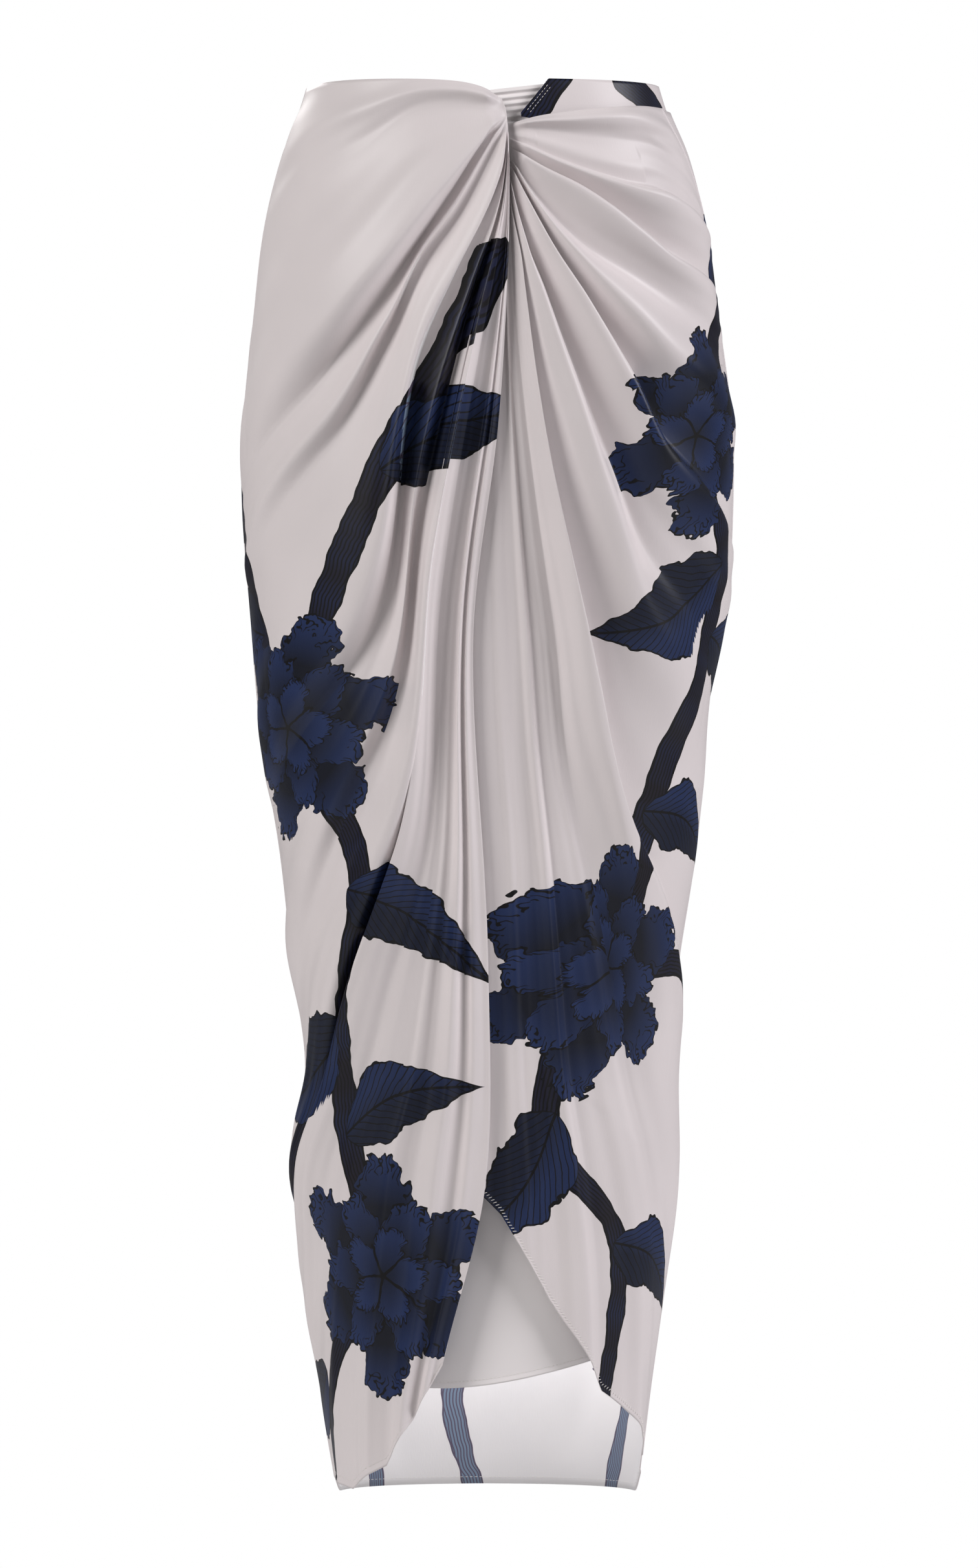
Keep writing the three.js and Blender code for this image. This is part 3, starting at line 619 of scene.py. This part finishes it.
def one_stitch(length, thickness):
    """Corners and faces of one stitch, a strand with rounded ends."""
    bpy.ops.object.select_all(action="DESELECT")
    bpy.ops.mesh.primitive_uv_sphere_add(segments=8, ring_count=5, radius=0.5)
    obj = bpy.context.active_object
    obj.scale = (length * MM, thickness * MM, thickness * MM)
    bpy.ops.object.transform_apply(location=False, rotation=False, scale=True)
    points = np.array([corner.co for corner in obj.data.vertices])
    faces = [list(face.vertices) for face in obj.data.polygons]
    bpy.ops.object.delete()
    return points, faces


def stitch_row(path, kind):
    """Copies one stitch along a row of points, each turned by the kind's slant."""
    length, thickness, spacing, slant = kind
    points, faces = one_stitch(length, thickness)
    along = np.concatenate([[0], np.cumsum(np.linalg.norm(np.diff(path, axis=0), axis=1))])
    stops = np.arange(spacing * MM / 2, along[-1], spacing * MM)
    spots = np.stack([np.interp(stops, along, path[:, k]) for k in range(3)], axis=1)
    run = np.stack([np.interp(stops, along, column) for column in np.gradient(path, axis=0).T], axis=1)
    run /= np.linalg.norm(run, axis=1, keepdims=True)
    out = spots * (1, 1, 0)
    out /= np.linalg.norm(out, axis=1, keepdims=True)
    side = np.cross(out, run)
    angle = math.radians(slant)
    lie = run * math.cos(angle) + side * math.sin(angle)
    axes = np.stack([lie, np.cross(out, lie), out], axis=1)
    verts = (spots[:, None] + points @ axes).reshape(-1, 3)
    return verts, [[corner + len(points) * k for corner in face] for k in range(len(spots)) for face in faces]


def stitch_object(name, rows):
    """Joins rows of stitches in one object of thread."""
    verts, faces = [], []
    for path, kind in rows:
        more, shapes = stitch_row(path, kind)
        faces += [[corner + sum(map(len, verts)) for corner in face] for face in shapes]
        verts.append(more)
    mesh = bpy.data.meshes.new(name)
    mesh.from_pydata(np.concatenate(verts).tolist(), [], faces)
    mesh.materials.append(spun_thread())
    mesh.shade_smooth()
    obj = bpy.data.objects.new(name, mesh)
    bpy.context.collection.objects.link(obj)
    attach(obj, BODY)


def hem_path(grid, columns, proud=THREAD_PROUD):
    """Points just off a panel, along the row where its turned hem starts."""
    row = -HEM_ROWS - 1
    turn, z, out = (grid[key][row] for key in ("turn", "z", "out"))
    turn = turn + grid["side"][row]
    return on_form(turn, z, out + proud)[columns]


def band_end_path(inset):
    """Points along the slanted front end of the waistband, inset from its edge."""
    share = np.linspace(0.12, 0.92, 24)
    rise = np.array([(BAND_PEAK_TURN - BAND_TIP_TURN) * MM_PER_DEGREE, WAIST_TOP - BAND_TIP_TOP])
    inward = np.array([rise[1], -rise[0]]) / np.linalg.norm(rise) * inset
    turn = mix(BAND_TIP_TURN, BAND_PEAK_TURN, share) + inward[0] / MM_PER_DEGREE
    return on_form(turn, mix(BAND_TIP_TOP, WAIST_TOP, share) + inward[1], THREAD_PROUD - BAND_INSET_FRONT)


def add(tree, kind, settings, *sources):
    """Adds a node with its settings, fills its inputs in order with links or values, gives its outputs."""
    node = tree.nodes.new(kind)
    for name, value in settings.items():
        setattr(node, name, value)
    for socket, source in zip(node.inputs, sources):
        if isinstance(source, bpy.types.NodeSocket):
            tree.links.new(source, socket)
        elif source is not None:
            socket.default_value = source
    return node.outputs


def bloom_ink(tree):
    """Ink, drawn line and light share of the blossoms, from the place inside the nearest one."""
    place = add(tree, ATTRIBUTE, {"attribute_name": "bloom"})[1]
    x, y, size = add(tree, SEPARATE, {}, place)
    ragged = add(tree, NOISE, {}, place, None, 0.075, 2.0)[0]
    flat = add(tree, VECTOR_MATH, {"operation": "MULTIPLY"}, place, (1, 1, 0))[0]
    away = add(tree, VECTOR_MATH, {"operation": "LENGTH"}, flat)[1]
    share = add(tree, MATH, {"operation": "DIVIDE"}, away, size)[0]
    angle = add(tree, MATH, {"operation": "ARCTAN2"}, y, x)[0]
    angle = add(tree, MATH, {"operation": "MULTIPLY_ADD"}, ragged, 0.5, angle)[0]
    swirl = add(tree, MATH, {"operation": "MULTIPLY_ADD"}, angle, VEINS_ROUND, ragged)[0]
    vein = add(tree, MATH, {"operation": "SINE"}, swirl)[0]
    vein = add(tree, MATH, {"operation": "GREATER_THAN"}, vein, 0.72)[0]
    ruffle = add(tree, MATH, {"operation": "MULTIPLY"}, angle, RUFFLES_ROUND)[0]
    ruffle = add(tree, MATH, {"operation": "SINE"}, ruffle)[0]
    ruffle = add(tree, MATH, {"operation": "ABSOLUTE"}, ruffle)[0]
    ink, line, light = 0.0, 0.0, 0.0
    for petals, reach, cleft, turn in PETAL_RINGS:
        wave = add(tree, MATH, {"operation": "MULTIPLY_ADD"}, angle, petals, turn)[0]
        wave = add(tree, MATH, {"operation": "COSINE"}, wave)[0]
        gap = add(tree, MATH, {"operation": "MULTIPLY_ADD"}, wave, -0.5, 0.5)[0]
        gap = add(tree, MATH, {"operation": "POWER"}, gap, 1.6)[0]
        edge = add(tree, MATH, {"operation": "MULTIPLY_ADD"}, gap, -cleft * reach, reach - 0.08)[0]
        edge = add(tree, MATH, {"operation": "MULTIPLY_ADD"}, ragged, 0.16, edge)[0]
        edge = add(tree, MATH, {"operation": "MULTIPLY_ADD"}, ruffle, 0.045, edge)[0]
        depth = add(tree, MATH, {"operation": "SUBTRACT"}, edge, share)[0]
        depth = add(tree, MATH, {"operation": "MULTIPLY"}, depth, size)[0]
        inside = add(tree, MATH, {"operation": "GREATER_THAN"}, depth, 0.0)[0]
        rim = add(tree, MATH, {"operation": "LESS_THAN"}, depth, 1.5)[0]
        split = add(tree, MATH, {"operation": "MULTIPLY_ADD"}, wave, 2.0, 2.0)[0]
        split = add(tree, MATH, {"operation": "SQRT"}, split)[0]
        split = add(tree, MATH, {"operation": "MULTIPLY"}, split, away)[0]
        split = add(tree, MATH, {"operation": "LESS_THAN"}, split, 0.9 * petals)[0]
        short = add(tree, MATH, {"operation": "LESS_THAN"}, depth, 13 * reach)[0]
        hair = add(tree, MATH, {"operation": "MULTIPLY"}, vein, short)[0]
        drawn = add(tree, MATH, {"operation": "MAXIMUM"}, rim, split)[0]
        drawn = add(tree, MATH, {"operation": "MAXIMUM"}, drawn, hair)[0]
        tip = add(tree, RANGE, {}, share, reach - 0.42, reach - 0.05)[0]
        ink = add(tree, MATH, {"operation": "MAXIMUM"}, inside, ink)[0]
        line = add(tree, MIX, {}, inside, None, line, drawn)[0]
        light = add(tree, MIX, {}, inside, None, light, tip)[0]
    return ink, line, light


def leaf_ink(tree):
    """Ink, drawn line and light share of the leaves."""
    place = add(tree, ATTRIBUTE, {"attribute_name": "leaf"})[1]
    along, across, length = add(tree, SEPARATE, {}, place)
    ragged = add(tree, NOISE, {}, place, None, 0.06, 2.0)[0]
    share = add(tree, MATH, {"operation": "DIVIDE"}, along, length)[0]
    off = add(tree, MATH, {"operation": "ABSOLUTE"}, across)[0]
    left = add(tree, MATH, {"operation": "SUBTRACT"}, 1.0, share)[0]
    body = add(tree, MATH, {"operation": "MULTIPLY"}, left, left)[0]
    body = add(tree, MATH, {"operation": "MULTIPLY"}, body, share)[0]
    body = add(tree, MATH, {"operation": "MAXIMUM"}, body, 0.0)[0]
    body = add(tree, MATH, {"operation": "POWER"}, body, 0.7)[0]
    swell = add(tree, MATH, {"operation": "MULTIPLY_ADD"}, ragged, 0.7, 0.55)[0]
    body = add(tree, MATH, {"operation": "MULTIPLY"}, body, swell)[0]
    body = add(tree, MATH, {"operation": "MULTIPLY"}, body, length)[0]
    before_tip = add(tree, MATH, {"operation": "LESS_THAN"}, share, 1.0)[0]
    depth = add(tree, MATH, {"operation": "SUBTRACT"}, body, off)[0]
    inside = add(tree, MATH, {"operation": "GREATER_THAN"}, depth, 0.0)[0]
    inside = add(tree, MATH, {"operation": "MULTIPLY"}, inside, before_tip)[0]
    rim = add(tree, MATH, {"operation": "LESS_THAN"}, depth, 1.4)[0]
    rib = add(tree, MATH, {"operation": "LESS_THAN"}, off, 0.9)[0]
    slope = add(tree, MATH, {"operation": "MULTIPLY_ADD"}, off, -1.4, along)[0]
    slope = add(tree, MATH, {"operation": "MULTIPLY_ADD"}, ragged, 6.0, slope)[0]
    slope = add(tree, MATH, {"operation": "MULTIPLY"}, slope, 0.9)[0]
    vein = add(tree, MATH, {"operation": "SINE"}, slope)[0]
    vein = add(tree, MATH, {"operation": "GREATER_THAN"}, vein, 0.88)[0]
    drawn = add(tree, MATH, {"operation": "MAXIMUM"}, rim, rib)[0]
    drawn = add(tree, MATH, {"operation": "MAXIMUM"}, drawn, vein)[0]
    light = add(tree, RANGE, {}, across, -6.0, 12.0, 0.15, 0.85)[0]
    return inside, drawn, light


def stem_ink(tree):
    """Ink, drawn line and light share of the ribbon stems."""
    place = add(tree, ATTRIBUTE, {"attribute_name": "stem"})[1]
    across, along, half = add(tree, SEPARATE, {}, place)
    waves = add(tree, NOISE, {"noise_dimensions": "1D"}, None, along, 0.03, 2.0)[0]
    off = add(tree, MATH, {"operation": "ABSOLUTE"}, across)[0]
    depth = add(tree, MATH, {"operation": "MULTIPLY_ADD"}, waves, 7.0, half)[0]
    depth = add(tree, MATH, {"operation": "SUBTRACT"}, depth, off)[0]
    depth = add(tree, MATH, {"operation": "SUBTRACT"}, depth, 3.5)[0]
    inside = add(tree, MATH, {"operation": "GREATER_THAN"}, depth, 0.0)[0]
    rim = add(tree, MATH, {"operation": "LESS_THAN"}, depth, 1.5)[0]
    slip = add(tree, MATH, {"operation": "MULTIPLY_ADD"}, waves, 9.0, across)[0]
    slip = add(tree, MATH, {"operation": "MULTIPLY"}, slip, 2.4)[0]
    grain = add(tree, MATH, {"operation": "SINE"}, slip)[0]
    grain = add(tree, MATH, {"operation": "GREATER_THAN"}, grain, 0.35)[0]
    drawn = add(tree, MATH, {"operation": "MAXIMUM"}, rim, grain)[0]
    return inside, drawn, add(tree, RANGE, {}, waves, 0.35, 0.7, 0.0, 0.4)[0]


def satin(name, colour, sheen, roughness):
    """Woven satin: long float yarns give a smooth face with broad soft highlights along each fold."""
    material = bpy.data.materials.new(name)
    material.use_nodes = True
    tree = material.node_tree
    shader = tree.nodes["Principled BSDF"]
    shader.inputs["Base Color"].default_value = colour
    shader.inputs["Roughness"].default_value = roughness
    shader.inputs["Sheen Weight"].default_value = sheen
    shader.inputs["Sheen Roughness"].default_value = 0.45
    shader.inputs["Specular IOR Level"].default_value = 0.32
    weave_bump(tree, shader)
    return material


def weave_bump(tree, shader):
    """Fine float yarns: their real spacing of 0.2 mm is too fine to show, so they are drawn 0.8 mm apart."""
    cloth = add(tree, ATTRIBUTE, {"attribute_name": "cloth"})[1]
    yarns = add(tree, VECTOR_MATH, {"operation": "MULTIPLY"}, cloth, (1.25, 0.18, 1))[0]
    floats = add(tree, NOISE, {}, yarns, None, 1.0, 1.0)[0]
    slubs = add(tree, NOISE, {}, cloth, None, 0.02, 2.0)[0]
    height = add(tree, MATH, {"operation": "MULTIPLY_ADD"}, slubs, 0.5, floats)[0]
    bump = add(tree, "ShaderNodeBump", {}, 0.12, 0.4 * MM, None, height)[0]
    tree.links.new(bump, shader.inputs["Normal"])


def printed_satin(name, ground, petal, petal_dark, drawn_line, stem, sheen):
    """Satin with a large drawn pattern of blossoms, leaves and ribbon stems in flat inks."""
    material = satin(name, ground, sheen, 0.42)
    tree = material.node_tree
    shader = tree.nodes["Principled BSDF"]
    cloth = add(tree, ATTRIBUTE, {"attribute_name": "cloth"})[1]
    cloud = add(tree, NOISE, {}, cloth, None, 0.012, 2.0)[0]
    soft = add(tree, RANGE, {}, cloud, 0.3, 0.7, 0.0, 0.05)[0]
    blend = {"data_type": "RGBA"}
    unused = (None,) * 5
    colour = add(tree, MIX, blend, soft, *unused, ground, stem)[2]
    for inks, dark in ((stem_ink(tree), stem), (leaf_ink(tree), petal_dark), (bloom_ink(tree), petal_dark)):
        ink, line, light = inks
        body = add(tree, MIX, blend, light, *unused, dark, petal)[2]
        body = add(tree, MIX, blend, line, *unused, body, drawn_line)[2]
        colour = add(tree, MIX, blend, ink, *unused, colour, body)[2]
    tree.links.new(colour, shader.inputs["Base Color"])
    return material


def face_satin():
    tint = bpy.context.scene.skirt_colours
    name = "printed_satin_face"
    return bpy.data.materials.get(name) or printed_satin(
        name, tint.ground, tint.petal, tint.petal_dark, tint.drawn_line, tint.stem, 0.03)


def wrong_satin():
    """The wrong side is paler and duller, and the print shows through it as a faded grey blue."""
    tint = bpy.context.scene.skirt_colours
    name = "printed_satin_wrong_side"
    return bpy.data.materials.get(name) or printed_satin(
        name, tint.wrong, tint.faded, tint.faded, tint.faded_line, tint.faded, 0.03)


def plain_satin():
    name = "plain_satin"
    return bpy.data.materials.get(name) or satin(name, bpy.context.scene.skirt_colours.plain, 0.15, 0.42)


def spun_thread():
    """Spun sewing thread: matt twisted fibres."""
    name = "spun_thread"
    return bpy.data.materials.get(name) or satin(name, bpy.context.scene.skirt_colours.thread, 0.2, 0.8)


def finish_piece(obj, node):
    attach(obj, BODY)
    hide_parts(node)


class SKIRT_OT_right_front(bpy.types.Operator):
    """Make the over wrap, whose folds fan out from the twist and whose free edge falls in front"""
    bl_idname = "skirt.right_front"
    bl_label = "Right front"

    def execute(self, context):
        cloth = context.scene.skirt_cloth
        motifs = (RIGHT_BLOOMS, RIGHT_LEAVES, RIGHT_STEMS)
        grid = right_front_grid(cloth)
        obj = cloth_object("right_front_cloth", grid, cloth.thickness, (face_satin(), wrong_satin()), motifs)
        finish_piece(obj, "right_front")
        return {"FINISHED"}


class SKIRT_OT_left_front(bpy.types.Operator):
    """Make the second wrap, gathered into the upright line of the twist"""
    bl_idname = "skirt.left_front"
    bl_label = "Left front"

    def execute(self, context):
        cloth = context.scene.skirt_cloth
        motifs = (LEFT_BLOOMS, LEFT_LEAVES, LEFT_STEMS)
        grid = left_front_grid(cloth)
        obj = cloth_object("left_front_cloth", grid, cloth.thickness, (face_satin(), wrong_satin()), motifs)
        finish_piece(obj, "left_front")
        return {"FINISHED"}


class SKIRT_OT_back(bpy.types.Operator):
    """Make the back, which hangs from side seam to side seam"""
    bl_idname = "skirt.back"
    bl_label = "Back"

    def execute(self, context):
        cloth = context.scene.skirt_cloth
        motifs = (BACK_BLOOMS, BACK_LEAVES, BACK_STEMS)
        grid = back_grid(cloth)
        obj = cloth_object("back_cloth", grid, cloth.thickness, (face_satin(), wrong_satin()), motifs)
        finish_piece(obj, "back")
        return {"FINISHED"}


class SKIRT_OT_underlap(bpy.types.Operator):
    """Make the plain inner wrap, whose hem shows between the fronts"""
    bl_idname = "skirt.underlap"
    bl_label = "Underlap"

    def execute(self, context):
        cloth = context.scene.skirt_cloth
        obj = cloth_object("underlap_cloth", underlap_grid(cloth), cloth.thickness, (plain_satin(),))
        finish_piece(obj, "underlap")
        return {"FINISHED"}


class SKIRT_OT_waistband(bpy.types.Operator):
    """Make the narrow waist strip with its slanted front end"""
    bl_idname = "skirt.waistband"
    bl_label = "Waistband"

    def execute(self, context):
        cloth = context.scene.skirt_cloth
        grid = waistband_grid(cloth)
        motifs = ((), (), BAND_STEMS)
        obj = cloth_object("waistband_cloth", grid, cloth.thickness, (face_satin(), wrong_satin()), motifs)
        finish_piece(obj, "waistband")
        return {"FINISHED"}


class SKIRT_OT_waist_tuck(bpy.types.Operator):
    """Make the small pleated tab in the notch above the twist"""
    bl_idname = "skirt.waist_tuck"
    bl_label = "Waist tuck"

    def execute(self, context):
        cloth = context.scene.skirt_cloth
        obj = cloth_object("waist_tuck_cloth", waist_tuck_grid(cloth), cloth.thickness, (plain_satin(),))
        finish_piece(obj, "waist_tuck")
        return {"FINISHED"}


class SKIRT_OT_stitching(bpy.types.Operator):
    """Sew the hems and the slanted end of the waistband"""
    bl_idname = "skirt.stitching"
    bl_label = "Stitching"

    def execute(self, context):
        cloth = context.scene.skirt_cloth
        right, left, back = right_front_grid(cloth), left_front_grid(cloth), back_grid(cloth)
        inside = -cloth.thickness / MM - THREAD_PROUD
        rows = (
            (hem_path(left, np.flatnonzero(left["fold"] < LEFT_HEM_FOLDS)), OVERLOCK),
            (hem_path(right, np.flatnonzero(right["fold"] >= RIGHT_HEM_FOLD)), RUNNING),
            (hem_path(underlap_grid(cloth), slice(None)), FINE_RUNNING),
            (hem_path(back, slice(None)), RUNNING),
            (hem_path(back, slice(None), inside), RUNNING),
        )
        stitch_object("hem_stitches", rows)
        ends = [(band_end_path(inset), FINE_RUNNING) for inset in BAND_STITCH_INSETS]
        stitch_object("waistband_stitches", ends)
        return {"FINISHED"}


class SKIRT_OT_studio(bpy.types.Operator):
    """Make the pale floor, the soft lights, the white room and the camera"""
    bl_idname = "skirt.studio"
    bl_label = "Studio"

    def execute(self, context):
        studio = context.scene.skirt_studio
        context.scene.view_settings.view_transform = "Standard"
        set_camera(context.scene)
        set_floor()
        set_room(context.scene, studio.room_light)
        soft_light("key", (-4.8, -3.4, 3.2), 2.6, studio.key_power, (1.0, 0.985, 0.98))
        soft_light("fill", (5.3, -1.9, 2.4), 2.6, studio.fill_power, (0.985, 0.97, 1.0))
        soft_light("rear", (-2.8, 6.4, 3.0), 2.2, studio.rear_power, (1.0, 0.99, 0.98))
        soft_light("through_cloth", (0, 0, -0.74), 0.08, studio.inside_power, (1, 1, 1), (0, 0.07, -0.95))
        return {"FINISHED"}


def set_camera(scene):
    """Camera level with the middle of the skirt, so that 0.45 mm of it fills a pixel of the photograph."""
    camera = bpy.data.cameras.new("camera")
    camera.sensor_fit = "VERTICAL"
    camera.angle = 2 * math.atan(FRAME_HEIGHT / 2 / CAMERA_DISTANCE)
    obj = bpy.data.objects.new("camera", camera)
    obj.location = (CAMERA_X, -CAMERA_DISTANCE, CAMERA_Z)
    obj.rotation_euler = (math.radians(90), 0, 0)
    bpy.context.collection.objects.link(obj)
    scene.camera = obj


def set_floor():
    """Pale floor below the hem, which ends before the photograph's view of it starts."""
    bpy.ops.object.select_all(action="DESELECT")
    bpy.ops.mesh.primitive_plane_add(size=6, location=(0, 0, -1.35))
    floor = bpy.context.active_object
    floor.name = "floor"
    material = bpy.data.materials.new("white_floor")
    material.use_nodes = True
    shader = material.node_tree.nodes["Principled BSDF"]
    shader.inputs["Base Color"].default_value = linear("#DADADA")
    shader.inputs["Roughness"].default_value = 0.9
    floor.data.materials.append(material)


def set_room(scene, strength):
    """A white room that looks pure white and lights the skirt softly from all sides."""
    world = bpy.data.worlds.new("white_room")
    scene.world = world
    world.use_nodes = True
    tree = world.node_tree
    seen = add(tree, "ShaderNodeLightPath", {})[0]
    light = add(tree, RANGE, {}, seen, 0.0, 1.0, strength, 1.0)[0]
    background = tree.nodes["Background"]
    background.inputs["Color"].default_value = (1, 1, 1, 1)
    tree.links.new(light, background.inputs["Strength"])


def soft_light(name, place, size, power, colour, aim=(0, 0, CAMERA_Z)):
    light = bpy.data.lights.new(name, "AREA")
    light.size, light.energy, light.color = size, power, colour
    obj = bpy.data.objects.new(name, light)
    obj.location = place
    obj.visible_camera = False
    towards = Vector(aim) - Vector(place)
    obj.rotation_euler = towards.to_track_quat("-Z", "Y").to_euler()
    bpy.context.collection.objects.link(obj)


PIECES = (SKIRT_OT_right_front, SKIRT_OT_left_front, SKIRT_OT_back, SKIRT_OT_underlap, SKIRT_OT_waistband,
          SKIRT_OT_waist_tuck, SKIRT_OT_stitching, SKIRT_OT_studio)
GROUPS = {"skirt_cloth": SkirtCloth, "skirt_colours": SkirtColours, "skirt_studio": SkirtStudio}


class SKIRT_PT_panel(bpy.types.Panel):
    """Sizes, colours and pieces of the skirt"""
    bl_label = "Wrap skirt"
    bl_space_type = "VIEW_3D"
    bl_region_type = "UI"
    bl_category = "Skirt"

    def draw(self, context):
        for name, group in GROUPS.items():
            box = self.layout.box()
            for key in group.__annotations__:
                box.prop(getattr(context.scene, name), key)
        for piece in PIECES:
            self.layout.operator(piece.bl_idname)


def register():
    for kind in (*GROUPS.values(), *PIECES, SKIRT_PT_panel):
        bpy.utils.register_class(kind)
    for name, group in GROUPS.items():
        setattr(bpy.types.Scene, name, PointerProperty(type=group))


def unregister():
    for name in GROUPS:
        delattr(bpy.types.Scene, name)
    for kind in (SKIRT_PT_panel, *reversed(PIECES), *GROUPS.values()):
        bpy.utils.unregister_class(kind)


def main():
    register()
    bpy.ops.skirt.right_front()
    bpy.ops.skirt.left_front()
    bpy.ops.skirt.back()
    bpy.ops.skirt.underlap()
    bpy.ops.skirt.waistband()
    bpy.ops.skirt.waist_tuck()
    bpy.ops.skirt.stitching()
    bpy.ops.skirt.studio()


if __name__ == "__main__":
    main()
